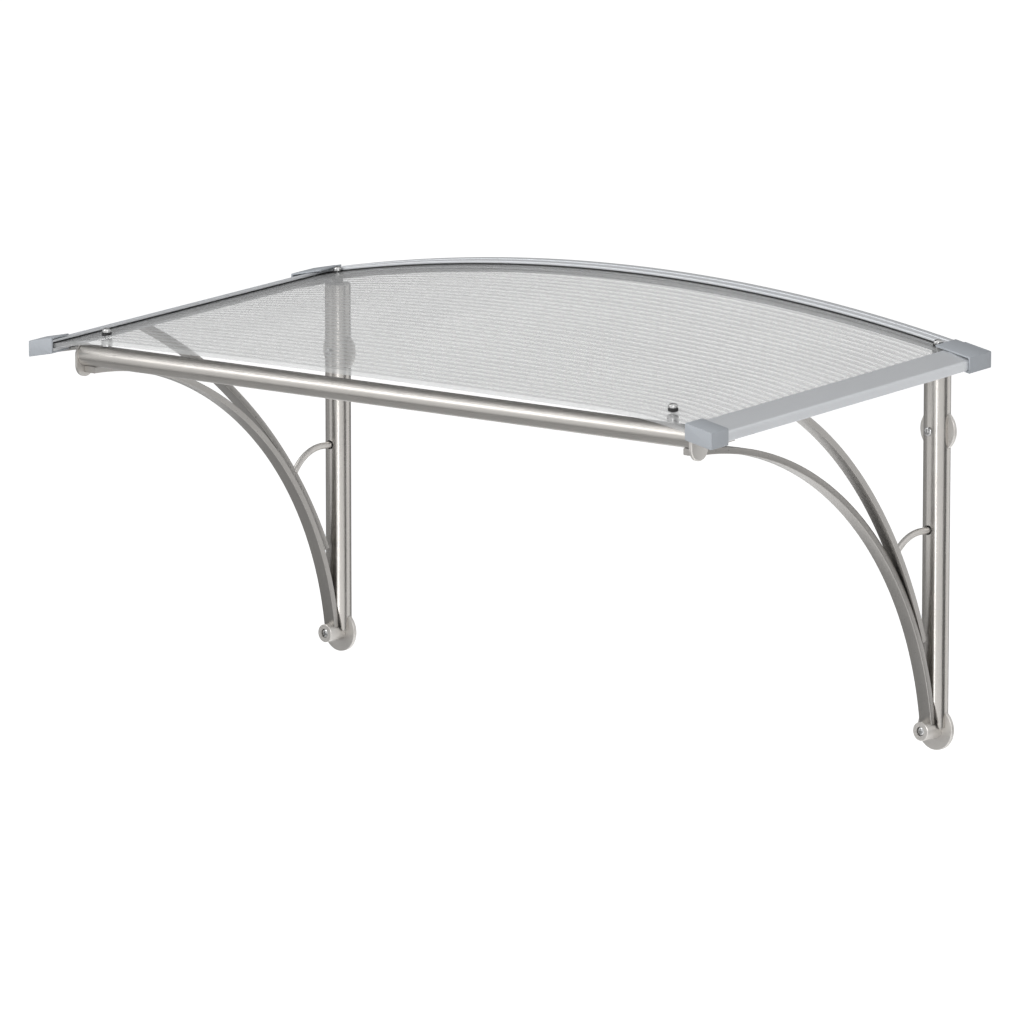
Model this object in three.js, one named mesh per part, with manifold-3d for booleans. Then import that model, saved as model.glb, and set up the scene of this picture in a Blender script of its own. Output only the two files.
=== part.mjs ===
// Door canopy: an arched twin-wall sheet in an aluminium frame, carried by two stainless wall brackets.
// Millimetres, +Z up, +Y into the wall. The wall is the plane Y = 0 and the origin lies on it, in the
// middle of the arched wall rail's back face. "Out" is the distance from the wall, so out = -Y.
import * as THREE from "three";
import { mergeVertices } from "three/addons/utils/BufferGeometryUtils.js";
import Module from "manifold-3d";

const wasm = await Module();
wasm.setup();

// Clearances
const SEAT = 0.3; // between pieces that touch
const SLOT_FIT = 0.5; // sheet in its slots
const HOLE_FIT = 0.5; // bolt in its hole, on the radius
const EDGE_BREAK = 1; // small bevel on turned edges

// Roof: one arch across the width, falling to the front and flatter there
const ARCH_RADIUS = 4190; // at the wall
const FRONT_SHARE = 0.1; // of the arch between its shoulders that is left at the front
const FALL = 0.0787; // drop per millimetre out, 4.5 degrees
const ARCH_STEPS = 13; // flat stretches that the arch is made of, an odd number

// Twin-wall sheet
const SHEET_THICK = 8;
const SHEET_UNDER = -5; // underside at the wall, mid width
const SHEET_BACK = 14; // out of the back edge
const SHEET_FRONT = 745; // out of the front edge
const SKIN = 1;
const RIB = 1.2;
const CHANNEL_PITCH = 20;

// Aluminium edge profiles and their seals
const PROFILE_CENTRE = 788;
const PROFILE_WIDTH = 56;
const PROFILE_PAST = 3; // beyond the sheet's front edge
const SLOT_DEPTH = 26;
const SHEET_EDGE_PLAY = 2; // between the sheet's edge and the bottom of the slot
const LIP = 4.4; // upper lip over the seal
const STEP_UP = 1; // broad face above the lip
const BROAD_DROP = 3; // fall of a side profile's broad face to the outside
const STEP_IN = 14; // width of the lip's step
const FLOOR_THICK = 5.5; // lower wall under the sheet
const ROUND_EDGE = 4;
const CHAMBER_WALL = 2.5;
const SEAL_THICK = 2;
const SEAL_WIDTH = 9;
const SEAL_PROUD = 1.5;
const RAIL_DEPTH = 26;
const RAIL_WEB = 12;

// End caps of the profiles
const CAP_WALL = 3.5;
const FRONT_CAP_DEPTH = 44;
const REAR_CAP_DEPTH = 60;
const REAR_CAP_REACH = 18; // how far its top plate runs over the rail

// Brackets
const BRACKET_INSET = 35; // post axis inside the side profile
const PIN_Z = -747;
const POST_OUT = 32;
const POST_RADIUS = 24.15;
const POST_WALL = 2;
const POST_BOTTOM = 4; // above the pin's axis
const POST_TOP_GAP = 15; // between the sheet and the post's top
const PLUG_FLANGE = 3;
const PLUG_DEPTH = 22;
const DISC_RADIUS = 39;
const DISC_THICK = 7;
const STAND_RADIUS = 14; // of the stand between wall and disc
const DISC_EDGE = 1.5;
const UPPER_DISC_Z = -212;
const PIN_RADIUS = 17;
const PIN_OUT = 72;
const PIN_RECESS = 6;
const SCREW_RADIUS = 4;
const SCREW_HEAD_RADIUS = 8;
const SCREW_HEAD = 5;

// Arched flat bars: the front arch ends level under the tube, the side arch leaves its back for the profile
const BAR_THICK = 12;
const BAR_WIDTH = 28;
const BAR_IN_POST = 6; // its middle behind the post's front, at the pin
const BAR_START_Z = -5; // below the pin's axis, before the pin trims it
const FRONT_ARCH_PAST = 4; // beyond the tube's axis
const SIDE_ARCH_JOIN = 160; // above the pin, where it leaves the front arch
const SIDE_ARCH_INBOARD = 2; // of the profile's middle, at the profile
const SIDE_ARCH_BACK = 200; // behind the tube's axis, where its arc meets the profile
const ARC_STEPS = 24;

// Curved strut between post and side arch
const STRUT_RADIUS = 6;
const STRUT_Z = -388;
const STRUT_STRAIGHT = 20; // in front of the post
const STRUT_BEND = 90; // a quarter turn, before the side arch trims it
const STRUT_INSIDE = 12; // inside the post's front wall
const STRUT_PLAY = 2.5; // in the post's hole, on the radius

// Front tube
const TUBE_BACK = 55; // axis behind the sheet's front edge
const TUBE_GAP = 1; // between the sheet and the tube's end disc
const TUBE_RADIUS = 20;
const TUBE_WALL = 2;
const TUBE_INSET = 25; // tube end inside the side profile
const TUBE_CAP_LIP = 2; // end plate beyond the tube
const TUBE_CAP_THICK = 6;
const TUBE_CAP_PLUG = 20;
const TUBE_CAP_DROP = 18; // the end plate's lower round below its upper one, over the front arch's end
const TONGUE_WIDTH = 30;
const TONGUE_THICK = 6;
const TONGUE_SHORT = 10; // ends inside the profile's outer edge

// Roof bolts, washers and spacers
const FRONT_BOLT_INSET = 55; // from the tube's end
const BOLT_RADIUS = 4;
const BOLT_HEAD_RADIUS = 8;
const BOLT_HEAD = 8;
const BOLT_SLOT = 1.8;
const WASHER_RADIUS = 9;
const WASHER_THICK = 1.5;
const SPACER_RADIUS = 10;
const BOLT_IN_TUBE = 12;
const BOLT_IN_PLUG = 14;

// Facets of round forms
const ROUND_SIDES = 28;
const SMALL_SIDES = 14;
const ROD_SIDES = 12;
const EDGE_STEPS = 4;
const BEND_STEPS = 8;
const ROD_STEPS = 16;
const DOME_STEPS = 3;
const ARCH_SIDES = 180;

// Sizes that follow
const sheetTop = SHEET_UNDER + SHEET_THICK;
const slotUnder = SHEET_UNDER - SLOT_FIT;
const slotTop = sheetTop + SEAL_THICK + 2 * SEAT;
const lipTop = slotTop + LIP;
const profileTop = lipTop + STEP_UP;
const profileUnder = slotUnder - FLOOR_THICK;
const profileInner = PROFILE_CENTRE - PROFILE_WIDTH / 2;
const profileOuter = PROFILE_CENTRE + PROFILE_WIDTH / 2;
const slotEnd = profileInner + SLOT_DEPTH;
const sheetHalf = slotEnd - SHEET_EDGE_PLAY;
const railHalf = profileInner - SEAT;
const bracketX = profileInner - BRACKET_INSET;
const profileFront = SHEET_FRONT + PROFILE_PAST;
const tubeOut = SHEET_FRONT - TUBE_BACK;
const sideArchOut = tubeOut - SIDE_ARCH_BACK;
const tubeHalf = profileInner - TUBE_INSET;
const frontBoltX = tubeHalf - FRONT_BOLT_INSET;
const sideArchX = PROFILE_CENTRE - SIDE_ARCH_INBOARD;
const postFrontOut = POST_OUT + POST_RADIUS;
const discBack = POST_OUT - DISC_THICK;
const barStartOut = postFrontOut - BAR_IN_POST;
const notchRadius = SPACER_RADIUS + HOLE_FIT;
const postTopZ = SHEET_UNDER + roofHeight(bracketX, -POST_OUT) - POST_TOP_GAP;
const tubeCapRadius = TUBE_RADIUS + TUBE_CAP_LIP;
const tubeCapEnd = tubeHalf + SEAT + TUBE_CAP_THICK;
const tubeZ = SHEET_UNDER + roofHeight(tubeCapEnd, -tubeOut) - TUBE_GAP - tubeCapRadius;

const steel = { color: 0xaaa6a0, metalness: 1, roughness: 0.34 };
const aluminium = { color: 0xa5a8ac, metalness: 0.9, roughness: 0.42 };
const capGrey = { color: 0x8b9098, metalness: 0.1, roughness: 0.5 };
const clearSheet = { color: 0xe4e6e6, metalness: 0, roughness: 0.2, transparent: true, opacity: 0.55 };
const rubber = { color: 0x141414, metalness: 0, roughness: 0.8 };

const canopy = new THREE.Group();
canopy.name = "door_canopy";
const right = new THREE.Group();
const left = new THREE.Group();
left.scale.x = -1;
canopy.add(right, left);

function addPiece(name, geometry, finish, parent = canopy) {
  const mesh = new THREE.Mesh(geometry, new THREE.MeshStandardMaterial(finish));
  mesh.name = name;
  parent.add(mesh);
}

// The same piece on both brackets: the left one is the mirror image.
function addPair(name, geometry, finish) {
  addPiece(name + "_right", geometry, finish, right);
  addPiece(name + "_left", geometry.clone(), finish, left);
}

// Solid of a closed geometry, turned outwards if its faces point in.
function solid(geometry) {
  const bare = geometry.index ? geometry.toNonIndexed() : geometry.clone();
  bare.deleteAttribute("normal");
  bare.deleteAttribute("uv");
  const merged = mergeVertices(bare, 1e-3);
  const mesh = { numProp: 3, vertProperties: merged.attributes.position.array };
  mesh.triVerts = new Uint32Array(merged.index.array);
  const made = new wasm.Manifold(new wasm.Mesh(mesh));
  if (made.volume() > 0) return made;
  mesh.triVerts.reverse();
  return new wasm.Manifold(new wasm.Mesh(mesh));
}

function geometryOf(made) {
  const mesh = made.getMesh();
  const geometry = new THREE.BufferGeometry();
  geometry.setAttribute("position", new THREE.BufferAttribute(mesh.vertProperties, 3));
  geometry.setIndex(new THREE.BufferAttribute(mesh.triVerts, 1));
  geometry.computeVertexNormals();
  return geometry;
}

const joined = (...geometries) => geometryOf(geometries.map(solid).reduce((a, b) => a.add(b)));
const cut = (geometry, ...tools) =>
  geometryOf(tools.map(solid).reduce((rest, tool) => rest.subtract(tool), solid(geometry)));

// Height of the roof above its level at the origin: flat facets whose edges lie on the arch at the wall.
// Between its shoulders, the outermost facets, the arch flattens in a straight line towards the front.
// Each shoulder keeps its slope and runs on under the side profile.
function roofHeight(x, y) {
  const facet = (2 * sheetHalf) / ARCH_STEPS;
  const last = (ARCH_STEPS - 1) / 2;
  const edge = (THREE.MathUtils.clamp(Math.round(x / facet), -last, last) - 0.5) * facet;
  const rise = (at) => Math.sqrt(ARCH_RADIUS ** 2 - at ** 2) - ARCH_RADIUS;
  const shoulder = rise((last - 0.5) * facet);
  const kept = THREE.MathUtils.mapLinear(y, 0, -SHEET_FRONT, 1, FRONT_SHARE);
  const level = (at) => shoulder + (rise(at) - shoulder) * (rise(at) > shoulder ? kept : 1);
  return THREE.MathUtils.mapLinear(x, edge, edge + facet, level(edge), level(edge + facet)) + FALL * y;
}

// Moves each point by a function of its place.
function reshape(geometry, move) {
  const points = geometry.getAttribute("position");
  for (let i = 0; i < points.count; i++) {
    const [x, y, z] = move(points.getX(i), points.getY(i), points.getZ(i));
    points.setXYZ(i, x, y, z);
  }
  return geometry;
}

// Lays a piece that was drawn on a flat roof onto the arched, falling one.
const drape = (geometry) => reshape(geometry, (x, y, z) => [x, y, z + roofHeight(x, y)]);

function box(x0, x1, out0, out1, z0, z1) {
  const geometry = new THREE.BoxGeometry(x1 - x0, out1 - out0, z1 - z0);
  return geometry.translate((x0 + x1) / 2, -(out0 + out1) / 2, (z0 + z1) / 2);
}

const outline = (points) => new THREE.Shape(points.map(([a, b]) => new THREE.Vector2(a, b)));

// Section in out and z, carried across the width from -half to half in the roof's facets.
function acrossWidth(shape, half) {
  const sweep = { depth: 2 * sheetHalf, steps: ARCH_STEPS, bevelEnabled: false };
  const geometry = new THREE.ExtrudeGeometry(shape, sweep);
  const within = (x) => THREE.MathUtils.clamp(x, -half, half);
  return reshape(geometry, (out, z, x) => [within(sheetHalf - x), -out, z]);
}

// Section in x and z, carried outwards.
function outwards(shape, out0, out1) {
  const geometry = new THREE.ExtrudeGeometry(shape, { depth: out1 - out0, bevelEnabled: false });
  return geometry.rotateX(Math.PI / 2).translate(0, -out0, 0);
}

// Turned piece: radius and height pairs, round the vertical axis.
function turned(profile, sides = ROUND_SIDES) {
  const points = profile.map(([radius, height]) => new THREE.Vector2(radius, height));
  return geometryOf(solid(new THREE.LatheGeometry(points, sides).rotateX(Math.PI / 2)));
}

// Turned piece whose heights run outwards from the wall.
const turnedOut = (profile, sides) => turned(profile, sides).rotateX(Math.PI / 2);

function rod(radius, z0, z1, sides = SMALL_SIDES) {
  return turned([[0, z0], [radius, z0], [radius, z1], [0, z1]], sides);
}

function rodOut(radius, out0, out1, sides = SMALL_SIDES) {
  return turnedOut([[0, out0], [radius, out0], [radius, out1], [0, out1]], sides);
}

function tubeProfile(inner, outer, z0, z1) {
  return [[inner, z0], [outer, z0], [outer, z1], [inner, z1], [inner, z0]];
}

function arcPoints(centre, radius, from, to, steps) {
  const point = (i) => {
    const angle = from + ((to - from) * i) / steps;
    return [centre[0] + radius * Math.cos(angle), centre[1] + radius * Math.sin(angle)];
  };
  return Array.from({ length: steps + 1 }, (_, i) => point(i));
}

// Strip of the sheet between two heights, across the whole width, with an edge at each distance out.
function strip(outs, z0, z1) {
  const lower = outs.map((out) => [out, z0]);
  const upper = outs.map((out) => [out, z1]).reverse();
  return drape(acrossWidth(outline([...lower, ...upper]), sheetHalf));
}

// Sheet: two skins with upright ribs between them, so that open channels run across the arch.
function roofSheet() {
  const length = SHEET_FRONT - SHEET_BACK;
  const channels = Math.round((length - RIB) / CHANNEL_PITCH);
  const pitch = (length - RIB) / channels;
  const ribOuts = Array.from({ length: channels + 1 }, (_, i) => SHEET_BACK + i * pitch);
  const ribs = ribOuts.map((out, i) => {
    const sunk = i % channels ? SKIN / 2 : 0;
    return strip([out, out + RIB], SHEET_UNDER + sunk, sheetTop - sunk);
  });
  const outs = [...ribOuts, SHEET_FRONT];
  const skins = [strip(outs, SHEET_UNDER, SHEET_UNDER + SKIN), strip(outs, sheetTop - SKIN, sheetTop)];
  const holes = boltPlaces.flatMap(([x, out]) =>
    [x, -x].map((place) => rod(BOLT_RADIUS + HOLE_FIT, PIN_Z, -PIN_Z).translate(place, -out, 0)),
  );
  return cut(joined(...skins, ...ribs), ...holes);
}

const boltPlaces = [[bracketX, POST_OUT], [frontBoltX, tubeOut]];

// The rail and its seal make room for the rear bolts.
function notched(geometry) {
  const tool = (side) => rod(notchRadius, PIN_Z, -PIN_Z).translate(side * bracketX, -POST_OUT, 0);
  return cut(geometry, tool(1), tool(-1));
}

function wallRail() {
  const stepOut = RAIL_DEPTH - STEP_IN;
  const shape = outline([
    [0, profileUnder], [RAIL_DEPTH, profileUnder], [RAIL_DEPTH, slotUnder], [RAIL_WEB, slotUnder],
    [RAIL_WEB, slotTop], [RAIL_DEPTH, slotTop], [RAIL_DEPTH, lipTop], [stepOut, lipTop],
    [stepOut, profileTop], [0, profileTop],
  ]);
  return notched(drape(acrossWidth(shape, railHalf)));
}

function railSeal() {
  const low = sheetTop + SEAT;
  const near = RAIL_DEPTH + SEAL_PROUD - SEAL_WIDTH;
  const far = RAIL_DEPTH + SEAL_PROUD;
  const shape = outline([[near, low], [far, low], [far, low + SEAL_THICK], [near, low + SEAL_THICK]]);
  return notched(drape(acrossWidth(shape, railHalf)));
}

function sideProfile() {
  const inner = profileInner;
  const outer = profileOuter;
  const round = ROUND_EDGE;
  const outerTop = profileTop - BROAD_DROP;
  const edge = (z, from, to) => arcPoints([outer - round, z], round, from, to, EDGE_STEPS);
  const shape = outline([
    [inner, profileUnder], ...edge(profileUnder + round, -Math.PI / 2, 0),
    ...edge(outerTop - round, 0, Math.PI / 2), [inner + STEP_IN, profileTop], [inner + STEP_IN, lipTop],
    [inner, lipTop], [inner, slotTop], [slotEnd, slotTop], [slotEnd, slotUnder], [inner, slotUnder],
  ]);
  const a = slotEnd + CHAMBER_WALL;
  const b = outer - CHAMBER_WALL;
  const low = profileUnder + CHAMBER_WALL;
  const high = outerTop - CHAMBER_WALL;
  const bevel = round / 2;
  shape.holes.push(outline([
    [a, low], [a, high], [b - bevel, high], [b, high - bevel], [b, low + bevel], [b - bevel, low],
  ]));
  return drape(outwards(shape, CAP_WALL + SEAT, profileFront));
}

function sideSeal() {
  const low = sheetTop + SEAT;
  const near = profileInner - SEAL_PROUD;
  const far = near + SEAL_WIDTH;
  const back = RAIL_DEPTH + SEAL_PROUD + SEAT;
  const shape = outline([[near, low], [far, low], [far, low + SEAL_THICK], [near, low + SEAL_THICK]]);
  return drape(outwards(shape, back, SHEET_FRONT));
}

// Cap over a profile's end: plates above, below, outside and across the end, open to the sheet.
function profileCap(out0, out1, end0, reach) {
  const top = profileTop + SEAT;
  const under = profileUnder - SEAT;
  const side = profileOuter + SEAT;
  const far = side + CAP_WALL;
  return drape(joined(
    box(profileInner - reach, far, out0, out1, top, top + CAP_WALL),
    box(profileInner, far, out0, out1, under - CAP_WALL, under),
    box(side, far, out0, out1, under - CAP_WALL, top + CAP_WALL),
    box(profileInner, far, end0, end0 + CAP_WALL, under - CAP_WALL, top + CAP_WALL),
  ));
}

function post() {
  const top = postTopZ - PIN_Z;
  const tube = turned(tubeProfile(POST_RADIUS - POST_WALL, POST_RADIUS, POST_BOTTOM, top));
  const across = 2 * POST_RADIUS;
  const saddle = rodOut(PIN_RADIUS + SEAT, -across, across, ROUND_SIDES);
  const strutHole = rodOut(STRUT_RADIUS + STRUT_PLAY, 0, across).translate(0, 0, STRUT_Z - PIN_Z);
  const screwHole = rodOut(SCREW_RADIUS + HOLE_FIT, -across, across).translate(0, 0, UPPER_DISC_Z - PIN_Z);
  const placed = cut(tube, saddle, strutHole, screwHole).translate(bracketX, -POST_OUT, PIN_Z);
  return cut(placed, arcDrum(frontArc, across), ...discRoom(UPPER_DISC_Z), ...discRoom(PIN_Z));
}

// Room for a wall disc and its stand.
function discRoom(z) {
  const disc = rodOut(DISC_RADIUS + SEAT, discBack - SEAT, POST_OUT + SEAT, ROUND_SIDES);
  const stand = rodOut(STAND_RADIUS + SEAT, -POST_OUT, discBack, ROUND_SIDES);
  return [disc.translate(bracketX, 0, z), stand.translate(bracketX, 0, z)];
}

function postPlug() {
  const fit = POST_RADIUS - POST_WALL - SEAT;
  const bore = BOLT_RADIUS + HOLE_FIT;
  const top = SEAT + PLUG_FLANGE;
  const hole = BOLT_IN_PLUG + HOLE_FIT;
  const profile = [
    [0, -PLUG_DEPTH], [fit, -PLUG_DEPTH], [fit, SEAT], [POST_RADIUS, SEAT], [POST_RADIUS, top - EDGE_BREAK],
    [POST_RADIUS - EDGE_BREAK, top], [bore, top], [bore, top - hole], [0, top - hole],
  ];
  return turned(profile).translate(bracketX, -POST_OUT, postTopZ);
}

// Disc on a stand from the wall, with its face level with the post's axis.
function wallDisc(z) {
  const edge = DISC_EDGE;
  const bore = SCREW_RADIUS + HOLE_FIT;
  const profile = [
    [bore, 0], [STAND_RADIUS, 0], [STAND_RADIUS, discBack], [DISC_RADIUS, discBack],
    [DISC_RADIUS, POST_OUT - edge], [DISC_RADIUS - edge, POST_OUT], [bore, POST_OUT], [bore, 0],
  ];
  return turnedOut(profile).translate(bracketX, 0, z);
}

function lowerPin() {
  const bore = SCREW_RADIUS + HOLE_FIT;
  const recess = SCREW_HEAD_RADIUS + HOLE_FIT;
  const floor = PIN_OUT - PIN_RECESS;
  const back = POST_OUT + SEAT;
  const profile = [
    [bore, back], [PIN_RADIUS, back], [PIN_RADIUS, PIN_OUT - EDGE_BREAK], [PIN_RADIUS - EDGE_BREAK, PIN_OUT],
    [recess, PIN_OUT], [recess, floor], [bore, floor], [bore, back],
  ];
  return turnedOut(profile).translate(bracketX, 0, PIN_Z);
}

// Domed head above z: an upright rim for half its height, then a quarter of an ellipse to the axis.
function domedHead(radius, height, z) {
  const bend = Array.from({ length: DOME_STEPS }, (_, i) => (i * Math.PI) / 2 / DOME_STEPS);
  const curve = bend.map((angle) => [radius * Math.cos(angle), z + (height / 2) * (1 + Math.sin(angle))]);
  return [[radius, z], ...curve, [0, z + height]];
}

// Wall screw with a domed head whose seat lies at the given distance out.
function wallScrew(seatOut, z) {
  const head = domedHead(SCREW_HEAD_RADIUS, SCREW_HEAD, seatOut);
  const profile = [[0, SEAT], [SCREW_RADIUS, SEAT], [SCREW_RADIUS, seatOut], ...head];
  return turnedOut(profile, SMALL_SIDES).translate(bracketX, 0, z);
}

// Circle in out and z that the front arch follows: through the pin, and level under the tube.
function frontArchCircle() {
  const top = tubeZ - TUBE_RADIUS - SEAT - BAR_THICK / 2;
  const rise = top - PIN_Z;
  const radius = ((tubeOut - barStartOut) ** 2 + rise ** 2) / (2 * rise);
  return { centre: [tubeOut, top - radius], radius, startZ: PIN_Z + BAR_START_Z };
}

// Circle of the side arch: it leaves the front arch's back in the same direction, and ends at the profile.
function sideArchCircle() {
  const { centre, radius } = frontArc;
  const angle = Math.PI - Math.asin((PIN_Z + SIDE_ARCH_JOIN - centre[1]) / radius);
  const away = new THREE.Vector2(Math.cos(angle), Math.sin(angle));
  const start = new THREE.Vector2(...centre).addScaledVector(away, radius + BAR_THICK + SEAT);
  const end = new THREE.Vector2(sideArchOut, profileUnder + roofHeight(sideArchX, -sideArchOut));
  const chord = end.sub(start);
  const reach = -chord.lengthSq() / (2 * chord.dot(away));
  const middle = start.clone().addScaledVector(away, -reach);
  return { centre: middle.toArray(), radius: reach, startZ: start.y };
}

const frontArc = frontArchCircle();
const sideArc = sideArchCircle();

// Flat bar along an arc, in a plane that swings from startX to endX.
function archBar({ centre, radius, startZ }, endOut, startX, endX) {
  const from = Math.PI - Math.asin((startZ - centre[1]) / radius);
  const to = Math.acos((endOut - centre[0]) / radius);
  const half = BAR_THICK / 2;
  const shape = outline([
    ...arcPoints(centre, radius + half, from, to, ARC_STEPS),
    ...arcPoints(centre, radius - half, to, from, ARC_STEPS),
  ]);
  const bar = new THREE.ExtrudeGeometry(shape, { depth: BAR_WIDTH, bevelEnabled: false });
  const startOut = centre[0] + radius * Math.cos(from);
  const swing = (endX - startX) / (endOut - startOut);
  return reshape(bar, (out, z, w) => [startX + swing * (out - startOut) + BAR_WIDTH / 2 - w, -out, z]);
}

// Round block that fills an arc's circle up to the back of its bar, across the bracket.
function arcDrum({ centre, radius }, width) {
  const back = radius + BAR_THICK / 2 + SEAT;
  const drum = new THREE.CylinderGeometry(back, back, width, ARCH_SIDES).rotateZ(Math.PI / 2);
  return drum.translate(bracketX, -centre[0], centre[1]);
}

function frontArch() {
  const endX = tubeHalf - BAR_WIDTH / 2;
  const bar = archBar(frontArc, tubeOut + FRONT_ARCH_PAST, bracketX, endX);
  const pin = rodOut(PIN_RADIUS + SEAT, 0, 2 * PIN_OUT, ROUND_SIDES).translate(bracketX, 0, PIN_Z);
  return cut(bar, pin);
}

function sideArch() {
  const bar = archBar(sideArc, sideArchOut + BAR_WIDTH, bracketX, sideArchX);
  const above = drape(box(bracketX, 2 * PROFILE_CENTRE - bracketX, sideArchOut / 2, tubeOut + SHEET_BACK,
    profileUnder - SEAT, bracketX));
  return cut(bar, above);
}

function strut() {
  const start = postFrontOut - STRUT_INSIDE;
  const bendFrom = postFrontOut + STRUT_STRAIGHT;
  const centre = [bendFrom, STRUT_Z - STRUT_BEND];
  const bend = arcPoints(centre, STRUT_BEND, Math.PI / 2, 0, BEND_STEPS);
  const route = [[start, STRUT_Z], [(start + bendFrom) / 2, STRUT_Z], ...bend];
  const path = new THREE.CatmullRomCurve3(route.map(([out, z]) => new THREE.Vector3(bracketX, -out, z)));
  const section = outline(arcPoints([0, 0], STRUT_RADIUS, 0, 2 * Math.PI, ROD_SIDES).slice(0, -1));
  const along = { extrudePath: path, steps: ROD_STEPS, bevelEnabled: false };
  const bent = new THREE.ExtrudeGeometry(section, along);
  return cut(bent, arcDrum(sideArc, POST_RADIUS));
}

function frontTube() {
  const tube = turned(tubeProfile(TUBE_RADIUS - TUBE_WALL, TUBE_RADIUS, -tubeHalf, tubeHalf));
  tube.rotateY(Math.PI / 2).translate(0, -tubeOut, tubeZ);
  const hole = (side) => rod(BOLT_RADIUS + HOLE_FIT, tubeZ, tubeZ + 2 * TUBE_RADIUS)
    .translate(side * frontBoltX, -tubeOut, 0);
  return cut(tube, hole(1), hole(-1));
}

// Plug in the tube's end, with a long plate and a tongue that carries the side profile.
function tubeCap() {
  const fit = TUBE_RADIUS - TUBE_WALL - SEAT;
  const face = tubeHalf + SEAT;
  const inside = face + TUBE_CAP_THICK / 2;
  const profile = [[0, face - TUBE_CAP_PLUG], [fit, face - TUBE_CAP_PLUG], [fit, inside], [0, inside]];
  const plug = turned(profile).rotateY(Math.PI / 2).translate(0, -tubeOut, tubeZ);
  const shape = outline([
    ...arcPoints([0, 0], tubeCapRadius, 0, Math.PI, ROD_STEPS),
    ...arcPoints([0, -TUBE_CAP_DROP], tubeCapRadius, Math.PI, 2 * Math.PI, ROD_STEPS),
  ]);
  const flat = new THREE.ExtrudeGeometry(shape, { depth: TUBE_CAP_THICK, bevelEnabled: false });
  const plate = reshape(flat, (along, up, through) => [face + through, along - tubeOut, tubeZ + up]);
  const top = profileUnder - SEAT;
  const half = TONGUE_WIDTH / 2;
  const tip = profileOuter - TONGUE_SHORT;
  const tongue = box(inside, tip, tubeOut - half, tubeOut + half, top - TONGUE_THICK, top);
  return joined(plug, plate, drape(tongue));
}

// Ring round a bolt between two surfaces given as functions of x and y.
function fittedRing(radius, x, out, lower, upper) {
  const ring = turned(tubeProfile(BOLT_RADIUS + HOLE_FIT, radius, 0, 1), SMALL_SIDES).translate(x, -out, 0);
  return reshape(ring, (px, py, pz) => [px, py, pz > 0.5 ? upper(px, py) : lower(px, py)]);
}

// Bolt through the roof, with its washer above the sheet and its spacer below.
function addRoofBolt(name, x, out, footZ, shankZ, spacerFinish) {
  const seatZ = sheetTop + SEAT + WASHER_THICK + Math.max(
    ...[1, -1].map((side) => roofHeight(x + side * WASHER_RADIUS, -out + WASHER_RADIUS)),
  );
  const headZ = seatZ + SEAT;
  const head = domedHead(BOLT_HEAD_RADIUS, BOLT_HEAD, headZ);
  const profile = [[0, shankZ], [BOLT_RADIUS, shankZ], [BOLT_RADIUS, headZ], ...head];
  const slot = new THREE.BoxGeometry(BOLT_SLOT, 4 * BOLT_HEAD_RADIUS, BOLT_HEAD / 2);
  slot.translate(0, 0, headZ + BOLT_HEAD);
  addPair(name + "_bolt", cut(turned(profile, SMALL_SIDES), slot).translate(x, -out, 0), steel);
  const over = (px, py) => sheetTop + SEAT + roofHeight(px, py);
  const under = (px, py) => SHEET_UNDER - SEAT + roofHeight(px, py);
  addPair(name + "_washer", fittedRing(WASHER_RADIUS, x, out, over, () => seatZ), rubber);
  addPair(name + "_spacer", fittedRing(SPACER_RADIUS, x, out, () => footZ, under), spacerFinish);
}

const plugTop = postTopZ + SEAT + PLUG_FLANGE;
const tubeTop = tubeZ + TUBE_RADIUS;

addPiece("roof_sheet", roofSheet(), clearSheet);
addPiece("wall_rail", wallRail(), aluminium);
addPiece("rail_seal", railSeal(), rubber);
addPiece("front_tube", frontTube(), steel);
addPair("side_profile", sideProfile(), aluminium);
addPair("side_seal", sideSeal(), rubber);
const capFront = profileFront + SEAT;
const frontCapBack = capFront + CAP_WALL - FRONT_CAP_DEPTH;
addPair("front_cap", profileCap(frontCapBack, capFront + CAP_WALL, capFront, 0), capGrey);
addPair("rear_cap", profileCap(0, REAR_CAP_DEPTH, 0, REAR_CAP_REACH), capGrey);
addPair("post", post(), steel);
addPair("post_plug", postPlug(), steel);
addPair("upper_disc", wallDisc(UPPER_DISC_Z), steel);
addPair("upper_screw", wallScrew(postFrontOut + SEAT, UPPER_DISC_Z), steel);
addPair("lower_disc", wallDisc(PIN_Z), steel);
addPair("lower_pin", lowerPin(), steel);
addPair("lower_screw", wallScrew(PIN_OUT - PIN_RECESS + SEAT, PIN_Z), steel);
addPair("front_arch", frontArch(), steel);
addPair("side_arch", sideArch(), steel);
addPair("strut", strut(), steel);
addPair("tube_cap", tubeCap(), steel);
addRoofBolt("rear", bracketX, POST_OUT, plugTop + SEAT, plugTop - BOLT_IN_PLUG, rubber);
addRoofBolt("front", frontBoltX, tubeOut, tubeTop + SEAT, tubeTop - BOLT_IN_TUBE, steel);

export default canopy;
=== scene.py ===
"""Door canopy: an arched clear twin-wall roof in satin aluminium edges, on brushed stainless wall brackets.

Metres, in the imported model's frame: +X to the right, +Y to the back, +Z up, origin in the middle of the
arched rail's back face. "Out" is the distance from the back plane, so out = -y. What comes in pairs is worked
out for the right-hand side and mirrored.
"""
import math

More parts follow.
